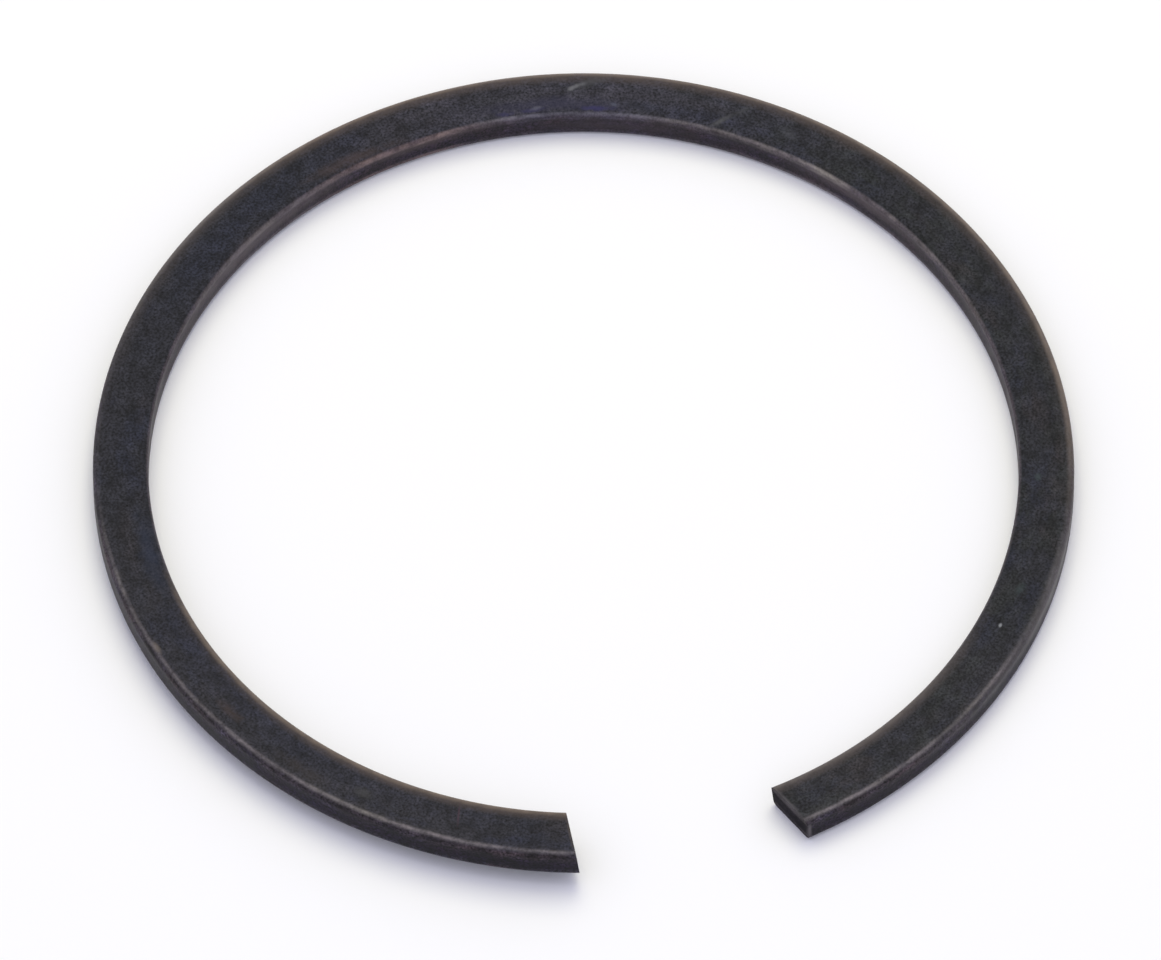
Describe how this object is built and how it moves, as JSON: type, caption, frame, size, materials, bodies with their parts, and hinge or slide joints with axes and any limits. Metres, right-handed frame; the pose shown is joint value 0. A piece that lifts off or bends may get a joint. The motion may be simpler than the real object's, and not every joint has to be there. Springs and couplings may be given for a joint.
{
  "type": "retaining ring",
  "caption": "Open retaining ring bent from flat spring wire, with a free gap and two sheared ends. It springs into a groove and stops parts from sliding past.",
  "frame": {"origin": "centre of the ring, on its axis, level with the middle of the wire at the back", "axes": "+Z along the ring's axis, towards the side to which the left end is lifted; the free gap is centred on -Y; +X to the right of the gap seen from in front of it and above"},
  "size_m": [0.053, 0.0523, 0.0026],
  "materials": {
    "black_oxide_steel": "satin black oxide, worn lighter along the edges"
  },
  "bodies": {
    "root": {"retaining_ring": "black_oxide_steel"}
  },
  "joints": []
}
